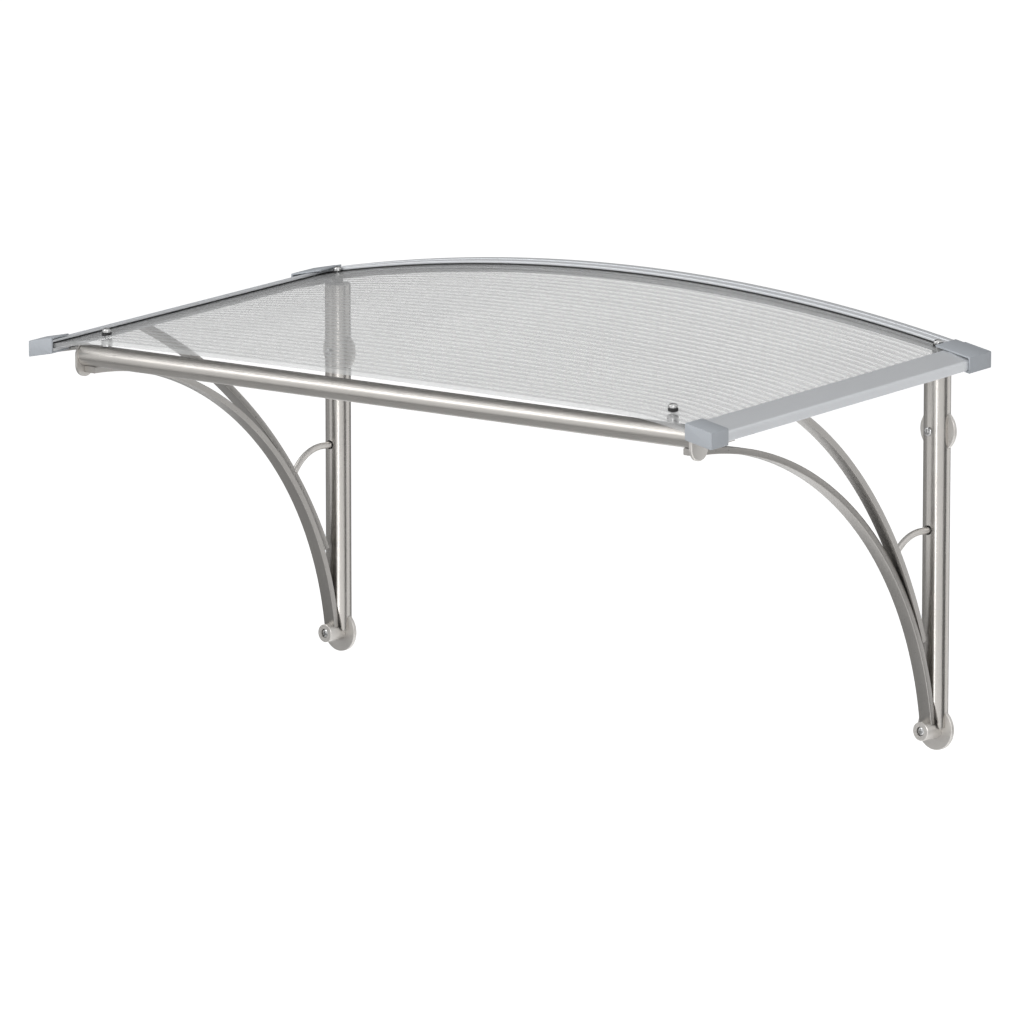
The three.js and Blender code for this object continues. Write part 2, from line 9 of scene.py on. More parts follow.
import bmesh
import bpy
import numpy as np
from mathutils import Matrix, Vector


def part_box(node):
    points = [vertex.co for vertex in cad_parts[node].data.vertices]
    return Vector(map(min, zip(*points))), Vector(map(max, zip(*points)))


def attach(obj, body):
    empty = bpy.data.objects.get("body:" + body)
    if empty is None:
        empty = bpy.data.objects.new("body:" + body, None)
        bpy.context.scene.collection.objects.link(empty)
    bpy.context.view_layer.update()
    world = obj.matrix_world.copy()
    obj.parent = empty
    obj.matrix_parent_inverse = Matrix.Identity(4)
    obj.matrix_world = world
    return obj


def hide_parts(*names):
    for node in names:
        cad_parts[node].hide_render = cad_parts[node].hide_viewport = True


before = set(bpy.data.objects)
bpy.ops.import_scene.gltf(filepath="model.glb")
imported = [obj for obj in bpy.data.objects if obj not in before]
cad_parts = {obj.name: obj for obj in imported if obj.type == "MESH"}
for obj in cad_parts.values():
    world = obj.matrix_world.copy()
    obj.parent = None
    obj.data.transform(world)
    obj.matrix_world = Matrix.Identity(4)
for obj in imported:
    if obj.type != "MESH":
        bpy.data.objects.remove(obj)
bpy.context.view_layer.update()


def middle(node, axis):
    """Middle of a node's box along axis 0, 1 or 2."""
    low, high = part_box(node)
    return float(low[axis] + high[axis]) / 2


def half_size(node, axis):
    """Half of a node's size along axis 0, 1 or 2."""
    low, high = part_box(node)
    return float(high[axis] - low[axis]) / 2


# From the frame: the sheet's reach, and the axes and radii of post, pin, strut and front tube.
SHEET_HALF = float(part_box("roof_sheet")[1][0])
SHEET_FRONT = -float(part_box("roof_sheet")[0][1])
POST_X = middle("post_right", 0)
POST_OUT = -middle("post_right", 1)
POST_RADIUS = half_size("post_right", 0)
POST_FRONT = POST_OUT + POST_RADIUS
PIN_Z = middle("lower_pin_right", 2)
PIN_RADIUS = half_size("lower_pin_right", 2)
STRUT_RADIUS = half_size("strut_right", 0)
STRUT_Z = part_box("strut_right")[1][2] - STRUT_RADIUS
TUBE_OUT = -middle("front_tube", 1)
TUBE_Z = middle("front_tube", 2)
TUBE_RADIUS = half_size("front_tube", 2)
TUBE_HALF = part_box("front_tube")[1][0]

# Roof: an arch across the width that falls to the front and is flatter there, between its shoulders.
ARCH_RADIUS = 4.19
FRONT_SHARE = 0.1
SHOULDER_SHARE = 11 / 13
SHOULDER_SOFT = 0.004
FALL = 0.0787
SHEET_UNDER = -0.005
SHEET_THICK = 0.008
SHEET_TOP = SHEET_UNDER + SHEET_THICK
SKIN = 0.001
RIB = 0.0012
WIDE_RIB = 0.004
WIDE_RIB_OUTS = (0.2, 0.4, 0.6)
CHANNEL_PITCH = 0.020

# Edge profiles, as sections on a flat roof, and their caps.
SEAT = 0.0003
SLOT_UNDER = -0.0055
SLOT_TOP = 0.0056
SLOT_DEEP = 0.026
LIP_TOP = 0.010
BROAD_DROP = 0.003
PROFILE_TOP = 0.011
PROFILE_UNDER = -0.011
STEP_IN = 0.014
NOTCH_PLAY = 0.0005
RAIL_WEB = 0.012
PROFILE_EDGE = 0.0005
ROUND_EDGE = 0.004
SEAL_EDGE = 0.0006
CAP_WALL = 0.0035
CAP_ROUND = 0.0022
CAP_EDGE = 0.0006
REAR_CAP_REACH = 0.018

# Posts, wall discs, pins, flat bars and struts.
POST_WALL = 0.002
POST_FOOT = 0.004
PLUG_FLANGE = 0.003
EDGE_BREAK = 0.001
BORE = 0.0045
DISC_THICK = 0.007
DISC_EDGE = 0.0015
STAND_RADIUS = 0.014
PIN_RECESS = 0.006
PIN_RECESS_RADIUS = 0.0085
BAR_THICK = 0.012
BAR_WIDTH = 0.028
BAR_EDGE = 0.0016
BAR_IN_POST = 0.006
FRONT_ARCH_PAST = 0.004
SIDE_ARCH_JOIN = 0.160
SIDE_ARCH_BACK = 0.200
SIDE_ARCH_INBOARD = 0.002
SIDE_ARCH_OUT = TUBE_OUT - SIDE_ARCH_BACK
SIDE_ARCH_X = middle("side_profile_right", 0) - SIDE_ARCH_INBOARD
STRUT_STRAIGHT = 0.020
STRUT_BEND = 0.090
STRUT_HOLE = 0.0085
STRUT_IN_BAR = 0.003

# Front tube with its end plates, and the slotted screws and bolts.
TUBE_WALL = 0.002
TUBE_CAP_THICK = 0.006
TUBE_CAP_DROP = 0.018
TUBE_CAP_EDGE = 0.002
TONGUE_THICK = 0.006
TONGUE_HALF = 0.015
SHANK = 0.004
DOME_SHARE = 0.62
HEAD_SLOT = 0.0018
SCREW_HEAD = 0.005
SCREW_SLOT_DEEP = 0.0022
BOLT_HEAD = 0.008
BOLT_SLOT_DEEP = 0.0035

# Steps along the surfaces, and the angles in degrees from which an edge is rounded or shaded sharp.
ARCH_STEPS = 96
PROFILE_STEPS = 24
BAR_STEPS = 90
STRUT_BEND_STEPS = 400
STRUT_EVERY = 6
STRUT_STRAIGHT_STEPS = 7
ROUND_STEPS = 96
SMALL_STEPS = 48
SCREW_DOME_STEPS = 9
BOLT_DOME_STEPS = 11
RAIL_CORNER_STEPS = 2
PROFILE_CORNER_STEPS = 6
DISC_EDGE_STEPS = 5
TUBE_CAP_EDGE_STEPS = 7
SLOPE_TRIES = 6
BEVEL_ANGLE = 40
SHARP_ANGLE = 35
SHEET_SHARP_ANGLE = 20

# Camera: a long lens from the right-hand front, a little above the roof.
AZIMUTH = math.radians(42.1)
ELEVATION = math.radians(9.4)
DISTANCE = 14.0
TARGET = (0.022, -0.37, -0.395)
FOCAL_PIXELS = 7814
IMAGE_PIXELS = 1024
SENSOR_MM = 36.0
VIEW_REACH = 200

# Studio. World levels lie behind and in front, and pass into each other over the given spread of direction.
FLOOR_Z = -2.2
FLOOR_REACH = 60.0
FLOOR_GREY = 0.85
FLOOR_GLOW = 0.6
WORLD_BEHIND = 0.25
WORLD_IN_FRONT = 0.85
WORLD_SPREAD = 0.75

# Lamps: place, aim, width and height, and watts.
LAMPS = {
    "key": ((-3.5, -5.0, 4.0), (0, -0.3, -0.3), (5.0, 5.0), 260),
    "fill": ((5.0, -4.0, 2.0), (0, -0.3, -0.3), (2.5, 2.5), 120),
    "strip": ((3.7, -4.7, -1.4), (0, -0.3, -0.9), (0.9, 1.4), 18),
}

# Cards that only reflections see: bearings in degrees from the front towards the right, the reach and height
# of the near and the far edge, and the grey level.
CARD_REACH = 4.0
CARD_STEPS = 25
CARDS = {
    "left_card": ((-75, 10), (CARD_REACH, FLOOR_Z), (CARD_REACH, -1.4), 0.28),
    "corner_card": ((-85, -46), (CARD_REACH, FLOOR_Z), (CARD_REACH, -0.55), 0.42),
    "right_card": ((97, 123), (CARD_REACH, FLOOR_Z), (CARD_REACH, -0.3), 0.08),
    "rim_card": ((124, 168), (CARD_REACH, FLOOR_Z), (CARD_REACH, 0.2), 1.15),
    "back_card": ((170, 275), (CARD_REACH, FLOOR_Z), (CARD_REACH, 7.0), 0.33),
    "floor_card": ((-110, -5), (0.6, -2.15), (3.9, -2.15), 0.52),
}


# Meshes

def roof_height(x, y):
    """Circle sqrt(R^2 - x^2) - R plus the fall FALL * y.

    What lies above the shoulders loses a share that grows in a straight line from 0 at the back to
    1 - FRONT_SHARE at the sheet's front. A soft step, log(1 + exp), rounds the change at the shoulders.
    """
    rise = np.sqrt(ARCH_RADIUS ** 2 - np.square(x)) - ARCH_RADIUS
    shoulder = math.sqrt(ARCH_RADIUS ** 2 - (SHOULDER_SHARE * SHEET_HALF) ** 2) - ARCH_RADIUS
    above = SHOULDER_SOFT * np.logaddexp(0, (rise - shoulder) / SHOULDER_SOFT)
    return rise - (1 - FRONT_SHARE) * -y / SHEET_FRONT * above + FALL * y


def draped(points):
    """Points of a flat roof, each lifted by the roof's height there."""
    lifted = np.array(points, dtype=float)
    lifted[..., 2] += roof_height(lifted[..., 0], lifted[..., 1])
    return lifted


def rectangle(left, right, low, high):
    """Four corners of a rectangle, in turn."""
    return [(left, low), (right, low), (right, high), (left, high)]


def filleted(corners, radius, steps=4):
    """Closed outline whose corners become quadratic curves, each cut back by radius or a third of a side."""
    corners = np.asarray(corners, dtype=float)
    before = np.roll(corners, 1, axis=0) - corners
    after = np.roll(corners, -1, axis=0) - corners
    reach_before = np.linalg.norm(before, axis=1, keepdims=True)
    reach_after = np.linalg.norm(after, axis=1, keepdims=True)
    cut = np.minimum(radius, np.minimum(reach_before, reach_after) / 3)
    start = corners + before / reach_before * cut
    end = corners + after / reach_after * cut
    t = np.linspace(0, 1, steps + 1)[None, :, None]
    curve = (1 - t) ** 2 * start[:, None] + 2 * t * (1 - t) * corners[:, None] + t ** 2 * end[:, None]
    return curve.reshape(-1, 2)


def strip_faces(rows, columns, closed_ring=True, closed_path=False):
    """Quads between neighbouring rings of a grid, if asked closed round each ring and round the path."""
    steps = np.arange(rows if closed_path else rows - 1)
    places = np.arange(columns if closed_ring else columns - 1)
    row, column = np.meshgrid(steps, places, indexing="ij")
    base, next_base = row * columns, (row + 1) % rows * columns
    beside = (column + 1) % columns
    quads = np.stack([base + column, base + beside, next_base + beside, next_base + column], axis=-1)
    return quads.reshape(-1, 4).tolist()


def ring_mesh(rings, closed_path=False):
    """Vertices and faces of a tube: rings (rows, columns, 3) joined in turn, as a loop or with end faces."""
    rows, columns = rings.shape[:2]
    faces = strip_faces(rows, columns, closed_path=closed_path)
    if not closed_path:
        faces.append(list(range(columns))[::-1])
        faces.append(list(range((rows - 1) * columns, rows * columns)))
    return rings.reshape(-1, 3), faces


def turned(profile, origin, along, steps):
    """Rings of a surface of revolution: radius and height pairs carried round an axis through origin."""
    profile = np.asarray(profile, dtype=float)
    angle = np.linspace(0, 2 * np.pi, steps, endpoint=False)
    axis = np.eye(3)["xyz".index(along)]
    side = np.eye(3)[("xyz".index(along) + 1) % 3]
    circle = np.cos(angle)[:, None] * side + np.sin(angle)[:, None] * np.cross(axis, side)
    return profile[:, :1, None] * circle + profile[:, 1:, None] * axis + np.asarray(origin)


def solid_turned(profile, origin, along, steps=ROUND_STEPS):
    """Turned piece closed by a flat face at each end."""
    return ring_mesh(turned(profile, origin, along, steps))


def hollow_turned(profile, origin, along, steps=ROUND_STEPS):
    """Turned piece whose profile closes on itself."""
    return ring_mesh(turned(profile, origin, along, steps), closed_path=True)


def round_bar(radius, start, end, origin, along, steps=SMALL_STEPS):
    """Plain round bar from start to end along an axis through origin."""
    return solid_turned([(radius, start), (radius, end)], origin, along, steps)


def along_width(section, half):
    """Section in out and z carried across the arched roof from -half to half."""
    x = np.linspace(-half, half, ARCH_STEPS + 1)
    rings = np.empty((len(x), len(section), 3))
    rings[..., 0] = x[:, None]
    rings[..., 1] = -section[:, 0]
    rings[..., 2] = section[:, 1]
    return ring_mesh(draped(rings))


def along_out(section, outs):
    """Section in x and z carried outwards along the falling roof."""
    rings = np.empty((len(outs), len(section), 3))
    rings[..., 0] = section[:, 0]
    rings[..., 1] = -np.asarray(outs)[:, None]
    rings[..., 2] = section[:, 1]
    return ring_mesh(draped(rings))


def merged(*parts):
    """Several vertex and face lists as one."""
    vertices, faces, count = [], [], 0
    for points, polygons in parts:
        vertices.append(points)
        faces += [[i + count for i in polygon] for polygon in polygons]
        count += len(points)
    return np.concatenate(vertices), faces


def mirrored(parts):
    """The same shape on the other side of x = 0."""
    vertices, faces = parts
    return vertices * np.array([-1, 1, 1]), [polygon[::-1] for polygon in faces]


# Objects

def outward(mesh):
    """Turns every face outwards."""
    work = bmesh.new()
    work.from_mesh(mesh)
    bmesh.ops.recalc_face_normals(work, faces=work.faces)
    work.to_mesh(mesh)
    work.free()


def new_object(name, parts):
    """Mesh object from vertices and faces, with its faces outwards."""
    vertices, faces = parts
    mesh = bpy.data.meshes.new(name)
    mesh.from_pydata(np.asarray(vertices).tolist(), [], faces)
    mesh.validate()
    outward(mesh)
    obj = bpy.data.objects.new(name, mesh)
    bpy.context.scene.collection.objects.link(obj)
    return obj


def keep_result(obj):
    """Makes what the modifiers give the object's own mesh."""
    view = bpy.context.evaluated_depsgraph_get()
    result = bpy.data.meshes.new_from_object(obj.evaluated_get(view))
    obj.modifiers.clear()
    old = obj.data
    obj.data = result
    bpy.data.meshes.remove(old)


def carve(obj, parts):
    """Cuts a closed shape out of an object."""
    tool = new_object("cutter", parts)
    modifier = obj.modifiers.new("cut", "BOOLEAN")
    modifier.operation = "DIFFERENCE"
    modifier.solver = "EXACT"
    modifier.object = tool
    keep_result(obj)
    shape = tool.data
    bpy.data.objects.remove(tool)
    bpy.data.meshes.remove(shape)


def round_edges(obj, width):
    """Rounds the object's edges that turn by more than the bevel angle."""
    modifier = obj.modifiers.new("edges", "BEVEL")
    modifier.width = width
    modifier.segments = 2
    modifier.limit_method = "ANGLE"
    modifier.angle_limit = math.radians(BEVEL_ANGLE)
    keep_result(obj)


def piece(name, node, parts, material, bevel=0.0, cutters=(), sharp=SHARP_ANGLE):
    """Object from vertices and faces, cut and with its edges rounded, that rides on the body for its node."""
    obj = new_object(name, parts)
    for cutter in cutters:
        carve(obj, cutter)
    if bevel:
        round_edges(obj, bevel)
    obj.data.polygons.foreach_set("use_smooth", np.ones(len(obj.data.polygons), dtype=bool))
    obj.data.set_sharp_from_angle(angle=math.radians(sharp))
    obj.data.materials.clear()
    obj.data.materials.append(material)
    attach(obj, "root")
    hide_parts(node)
    return obj


def pair(name, node, parts, material, bevel=0.0, cutters=()):
    """The mirror image on the left, and the piece itself on the right."""
    left = mirrored(parts), [mirrored(cutter) for cutter in cutters]
    for side, (shape, cuts) in (("left", left), ("right", (parts, cutters))):
        piece(f"{name}_{side}", f"{node}_{side}", shape, material, bevel, cuts)


# Finishes

# Colour sockets of a Mix node.
MIX_DARK, MIX_LIGHT, MIX_RESULT = 6, 7, 2


def add_node(tree, kind, values=None, **settings):
    """New shader node: settings are its own properties, values its inputs by name or number."""
    node = tree.nodes.new("ShaderNode" + kind)
    for name, setting in settings.items():
        setattr(node, name, setting)
    for socket, value in (values or {}).items():
        node.inputs[socket].default_value = value
    return node


def wire(tree, *links):
    """Links each output to its input."""
    for output, socket in links:
        tree.links.new(output, socket)


def new_material(name):
    """Node material, its tree and its Principled shader."""
    material = bpy.data.materials.new(name)
    material.use_nodes = True
    return material, material.node_tree, material.node_tree.nodes["Principled BSDF"]


def grain_group():
    """Group 'drawn grain' on Object coordinates: fine streaks, stretched by axis, and broad soft clouds."""
    tree = bpy.data.node_groups.new("drawn grain", "ShaderNodeTree")
    tree.interface.new_socket("Stretch", in_out="INPUT", socket_type="NodeSocketVector")
    for name in ("Streaks", "Clouds"):
        tree.interface.new_socket(name, in_out="OUTPUT", socket_type="NodeSocketFloat")
    inputs = tree.nodes.new("NodeGroupInput")
    outputs = tree.nodes.new("NodeGroupOutput")
    place = add_node(tree, "TexCoord")
    scaled = add_node(tree, "VectorMath", operation="MULTIPLY")
    streaks = add_node(tree, "TexNoise", {"Scale": 1.0, "Detail": 3.0, "Roughness": 0.6})
    clouds = add_node(tree, "TexNoise", {"Scale": 14.0, "Detail": 2.0})
    wire(
        tree,
        (place.outputs["Object"], scaled.inputs[0]),
        (inputs.outputs["Stretch"], scaled.inputs[1]),
        (scaled.outputs[0], streaks.inputs["Vector"]),
        (place.outputs["Object"], clouds.inputs["Vector"]),
        (streaks.outputs["Fac"], outputs.inputs["Streaks"]),
        (clouds.outputs["Fac"], outputs.inputs["Clouds"]),
    )
    return tree


GRAIN = grain_group()


def grained(name, colours, rough, stretch, bump=0.06, metallic=1.0):
    """Grained finish: streaks and clouds together pick the colour, streaks alone roughness and relief."""
    material, tree, shader = new_material(name)
    shader.inputs["Metallic"].default_value = metallic
    dark, light = colours
    grain = add_node(tree, "Group", node_tree=GRAIN)
    grain.inputs["Stretch"].default_value = stretch
    half = add_node(tree, "Math", {1: 0.5}, operation="MULTIPLY")
    mean = add_node(tree, "Math", {1: 0.5}, operation="MULTIPLY_ADD")
    colour = add_node(tree, "Mix", {MIX_DARK: (*dark, 1), MIX_LIGHT: (*light, 1)}, data_type="RGBA")
    spread = {"From Min": 0.3, "From Max": 0.7, "To Min": rough[0], "To Max": rough[1]}
    roughness = add_node(tree, "MapRange", spread)
    relief = add_node(tree, "Bump", {"Strength": bump, "Distance": 0.0004})
    wire(
        tree,
        (grain.outputs["Clouds"], half.inputs[0]),
        (grain.outputs["Streaks"], mean.inputs[0]),
        (half.outputs[0], mean.inputs[2]),
        (mean.outputs[0], colour.inputs[0]),
        (colour.outputs[MIX_RESULT], shader.inputs["Base Color"]),
        (grain.outputs["Streaks"], roughness.inputs["Value"]),
        (roughness.outputs[0], shader.inputs["Roughness"]),
        (grain.outputs["Streaks"], relief.inputs["Height"]),
        (relief.outputs[0], shader.inputs["Normal"]),
    )
    return material


def clear_sheet():
    """Clear plastic: a face lets through 1 - veil of what is behind, with faint clouds in gloss and veil."""
    material, tree, shader = new_material("clear_twin_wall")
    shader.inputs["Base Color"].default_value = (0.47, 0.475, 0.475, 1)
    shader.inputs["IOR"].default_value = 1.45
    place = add_node(tree, "TexCoord")
    cloud = add_node(tree, "TexNoise", {"Scale": 6.0})
    share = add_node(tree, "MapRange", {"To Min": 0.9, "To Max": 1.1})
    gloss = add_node(tree, "MapRange", {"To Min": 0.14, "To Max": 0.24})
    veil = add_node(tree, "Attribute", attribute_name="veil")
    alpha = add_node(tree, "Math", operation="MULTIPLY")
    wire(
        tree,
        (place.outputs["Object"], cloud.inputs["Vector"]),
        (cloud.outputs["Fac"], share.inputs["Value"]),
        (cloud.outputs["Fac"], gloss.inputs["Value"]),
        (veil.outputs["Fac"], alpha.inputs[0]),
        (share.outputs[0], alpha.inputs[1]),
        (alpha.outputs[0], shader.inputs["Alpha"]),
        (gloss.outputs[0], shader.inputs["Roughness"]),
    )
    return material


# Dark and light colours, then each finish with its roughness range and its grain along x, y and z.
STEEL = ((0.41, 0.395, 0.375), (0.53, 0.51, 0.485))
# The flat bars' steel is made darker than the rest: painted shade, since their faces take the same light as
# the tube's.
BAR_PAINTED_SHADE = ((0.29, 0.28, 0.268), (0.38, 0.367, 0.35))
TURNED = ((0.46, 0.445, 0.425), (0.66, 0.64, 0.615))
BOLT = ((0.36, 0.36, 0.36), (0.60, 0.60, 0.60))
ALUMINIUM = ((0.56, 0.575, 0.595), (0.66, 0.675, 0.695))
GREY = ((0.30, 0.32, 0.345), (0.35, 0.37, 0.395))
BLACK = ((0.008, 0.008, 0.009), (0.018, 0.018, 0.018))
SATIN = (0.34, 0.44)

STEEL_UPRIGHT = grained("steel_upright", STEEL, (0.20, 0.32), (1400, 1400, 12))
STEEL_ACROSS = grained("steel_across", STEEL, (0.27, 0.39), (12, 1400, 1400))
STEEL_BAR = grained("steel_bar", BAR_PAINTED_SHADE, (0.26, 0.38), (1400, 160, 160))
STEEL_TURNED = grained("steel_turned", TURNED, (0.38, 0.52), (700, 700, 700))
BOLT_STEEL = grained("bolt_steel", BOLT, (0.18, 0.30), (900, 900, 900))
ALUMINIUM_OUT = grained("aluminium_out", ALUMINIUM, SATIN, (900, 10, 900), bump=0.03, metallic=0.5)
ALUMINIUM_ACROSS = grained("aluminium_across", ALUMINIUM, SATIN, (10, 900, 900), bump=0.03, metallic=0.5)
CAP_GREY = grained("cap_grey", GREY, (0.40, 0.52), (1800, 1800, 1800), bump=0.05, metallic=0.0)
BLACK_RUBBER = grained("black_rubber", BLACK, (0.55, 0.75), (900, 900, 900), bump=0.05, metallic=0.0)
CLEAR = clear_sheet()

# Share of light that each kind of face of the sheet holds back. Near and far are halves of a channel's top,
# and their different shares paint bands of light and shade across the sheet.
SHEET_VEIL_AND_PAINTED_BANDS = {"near": 0.42, "far": 0.64, "skin": 0.06, "rib": 0.08, "edge": 0.5}


# Roof

def roof_sheet():
    """Twin-wall sheet: a grid of out and z lines whose channel cells are empty, carried across the arch.

    Every face lies between a filled and an empty cell of the section, so skins, ribs and ends share vertices.
    Out lines come in threes: a rib's two sides and the middle of the channel after it, so that of every three
    cells between the skins one is a rib and two are empty. Each face keeps its own veil, and the two halves
    of a channel's top get different ones: painted bands of light and shade.
    """
    low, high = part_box("roof_sheet")
    back, front = -high[1], -low[1]
    length = front - back
    channels = round((length - RIB) / CHANNEL_PITCH)
    ribs = back + np.arange(channels + 1) * (length - RIB) / channels
    widths = np.full(len(ribs), RIB)
    widths[np.abs(ribs[:, None] - np.array(WIDE_RIB_OUTS)).argmin(axis=0)] = WIDE_RIB
    middles = (ribs[:-1] + widths[:-1] + ribs[1:]) / 2
    outs = np.sort(np.concatenate([ribs, ribs + widths, middles]))
    heights = np.array([SHEET_UNDER, SHEET_UNDER + SKIN, SHEET_TOP - SKIN, SHEET_TOP])
    x = np.linspace(low[0], high[0], ARCH_STEPS + 1)
    grid = np.stack(np.meshgrid(x, -outs, heights, indexing="ij"), axis=-1)
    rows, columns, levels = grid.shape[:3]
    index = np.arange(rows * columns * levels).reshape(rows, columns, levels)
    solid = np.zeros((columns + 1, levels + 1), dtype=bool)
    solid[1:-1, 1:-1] = True
    solid[2:-1:3, 2] = False
    solid[3:-1:3, 2] = False
    faces, veils = [], []
    for c, k in np.argwhere(solid[1:, 1:-1] != solid[:-1, 1:-1]):
        strip = index[:-1, c, k], index[1:, c, k], index[1:, c, k + 1], index[:-1, c, k + 1]
        faces += np.stack(strip, axis=-1).tolist()
        veils += [SHEET_VEIL_AND_PAINTED_BANDS["edge" if c in (0, columns - 1) else "rib"]] * (rows - 1)
    for c, k in np.argwhere(solid[1:-1, 1:] != solid[1:-1, :-1]):
        strip = index[:-1, c, k], index[1:, c, k], index[1:, c + 1, k], index[:-1, c + 1, k]
        faces += np.stack(strip, axis=-1).tolist()
        # Different shares for the two halves of a channel's top: painted bands of light and shade.
        half = "near" if c % 3 == 1 else "far"
        veils += [SHEET_VEIL_AND_PAINTED_BANDS[half if k == levels - 1 else "skin"]] * (rows - 1)
    for c, k in np.argwhere(solid[1:-1, 1:-1]):
        for end in (0, rows - 1):
            faces.append([int(index[end, c + i, k + j]) for i, j in rectangle(0, 1, 0, 1)])
            veils.append(SHEET_VEIL_AND_PAINTED_BANDS["edge"])
    parts = draped(grid).reshape(-1, 3), faces
    sheet = piece("twin_wall_sheet", "roof_sheet", parts, CLEAR, sharp=SHEET_SHARP_ANGLE)
    sheet.data.attributes.new("veil", "FLOAT", "FACE").data.foreach_set("value", np.array(veils))


def seal_section(near, far):
    """Section of a seal between the sheet's top and the slot's."""
    return filleted(rectangle(near, far, SHEET_TOP + SEAT, SLOT_TOP - SEAT), SEAL_EDGE)


def wall_rail():
    """Arched rail with a slot for the sheet and a stepped top, and its seal, notched for the rear bolts."""
    low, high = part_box("wall_rail")
    depth = -low[1]
    step = depth - STEP_IN
    section = [
        (0, PROFILE_UNDER), (depth, PROFILE_UNDER), (depth, SLOT_UNDER), (RAIL_WEB, SLOT_UNDER),
        (RAIL_WEB, SLOT_TOP), (depth, SLOT_TOP), (depth, LIP_TOP), (step, LIP_TOP),
        (step, PROFILE_TOP), (0, PROFILE_TOP),
    ]
    rail = along_width(filleted(section, PROFILE_EDGE, RAIL_CORNER_STEPS), high[0])
    spacer = "rear_spacer_right"
    place = (middle(spacer, 0), middle(spacer, 1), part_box(spacer)[1][2])
    notch = round_bar(half_size(spacer, 1) + NOTCH_PLAY, -2 * depth, 2 * depth, place, "z")
    notches = [mirrored(notch), notch]
    piece("arched_rail", "wall_rail", rail, ALUMINIUM_ACROSS, cutters=notches)
    low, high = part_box("rail_seal")
    seal = along_width(seal_section(-high[1], -low[1]), high[0])
    piece("rail_lip_seal", "rail_seal", seal, BLACK_RUBBER, cutters=notches)


def side_edges():
    """Straight edge profile with its seal and its two caps."""
    low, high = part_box("side_profile_right")
    inner, outer = low[0], high[0]
    step, slot_end = inner + STEP_IN, inner + SLOT_DEEP
    section = [
        (inner, PROFILE_UNDER), (outer, PROFILE_UNDER), (outer, PROFILE_TOP - BROAD_DROP),
        (step, PROFILE_TOP), (step, LIP_TOP), (inner, LIP_TOP),
        (inner, SLOT_TOP), (slot_end, SLOT_TOP), (slot_end, SLOT_UNDER), (inner, SLOT_UNDER),
    ]
    rounds = np.full((len(section), 1), PROFILE_EDGE)
    rounds[1:3] = ROUND_EDGE
    outs = np.linspace(-high[1], -low[1], PROFILE_STEPS)
    edge = along_out(filleted(section, rounds, PROFILE_CORNER_STEPS), outs)
    pair("edge_profile", "side_profile", edge, ALUMINIUM_OUT)
    low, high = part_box("side_seal_right")
    outs = np.linspace(-high[1], -low[1], PROFILE_STEPS)
    seal = along_out(seal_section(low[0], high[0]), outs)
    pair("edge_seal", "side_seal", seal, BLACK_RUBBER)
    for row, reach in (("front", 0), ("rear", REAR_CAP_REACH)):
        pair(row + "_end_cap", row + "_cap", end_cap(row, inner, reach), CAP_GREY, bevel=CAP_EDGE)


def end_cap(row, inner, reach):
    """Cap round a profile's end: a C-shaped shell carried outwards, and a plate across its closed end.

    The front cap is closed at its front and the rear one at its back. The shell's top goes on by
    reach past the profile's inner side.
    """
    low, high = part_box(row + "_cap_right")
    outer = high[0]
    top, under = PROFILE_TOP + SEAT, PROFILE_UNDER - SEAT
    roof, foot = top + CAP_WALL, under - CAP_WALL
    shell = [
        (inner - reach, top), (outer - CAP_WALL, top), (outer - CAP_WALL, under), (inner, under),
        (inner, foot), (outer, foot), (outer, roof), (inner - reach, roof),
    ]
    near, far = -high[1], -low[1]
    split = far - CAP_WALL if row == "front" else near + CAP_WALL
    shell_run, plate_run = [near, split], [split, far]
    if row == "rear":
        shell_run, plate_run = plate_run, shell_run
    plate = filleted(rectangle(inner, outer, foot, roof), CAP_ROUND)
    return merged(along_out(filleted(shell, CAP_ROUND), shell_run), along_out(plate, plate_run))


# Brackets

def bar_section():
    """Rounded flat section as thickness and width offsets."""
    half_thick, half_wide = BAR_THICK / 2, BAR_WIDTH / 2
    return filleted(rectangle(-half_thick, half_thick, -half_wide, half_wide), BAR_EDGE)


def flat_bar(arc, start, end, place_x):
    """Section carried along an arc.

    Out and z = centre + (R + thickness) * (cos a, sin a), and x = place_x(out) + width. The angle a of each
    point of the section runs from start to end, so the ends may be curved or slanting.
    """
    centre, radius = arc
    section = bar_section()
    share = np.linspace(0, 1, BAR_STEPS)[:, None]
    angle = start + (end - start) * share + np.zeros(len(section))
    reach = radius + section[:, 0]
    out = centre[0] + reach * np.cos(angle)
    z = centre[1] + reach * np.sin(angle)
    return ring_mesh(np.stack([place_x(out) + section[:, 1], -out, z], axis=-1))


def front_circle():
    """Centre and radius of the front arch: through the pin's axis in the post, and level under the tube."""
    top = TUBE_Z - TUBE_RADIUS - SEAT - BAR_THICK / 2
    rise, reach = top - PIN_Z, TUBE_OUT - (POST_FRONT - BAR_IN_POST)
    radius = (reach ** 2 + rise ** 2) / (2 * rise)
    return (TUBE_OUT, top - radius), radius


def side_circle(front_arc):
    """Centre and radius of the side arch, and the height of its start.

    It leaves the front arch's back in the same direction, SIDE_ARCH_JOIN above the pin, and passes through a
    point under the side profile.
    """
    centre, radius = np.array(front_arc[0]), front_arc[1]
    angle = np.pi - np.arcsin((PIN_Z + SIDE_ARCH_JOIN - centre[1]) / radius)
    away = np.array([np.cos(angle), np.sin(angle)])
    start = centre + (radius + BAR_THICK + SEAT) * away
    end = np.array([SIDE_ARCH_OUT, PROFILE_UNDER + float(roof_height(SIDE_ARCH_X, -SIDE_ARCH_OUT))])
    chord = end - start
    reach = -(chord @ chord) / (2 * chord @ away)
    return (start - reach * away, reach), start[1]


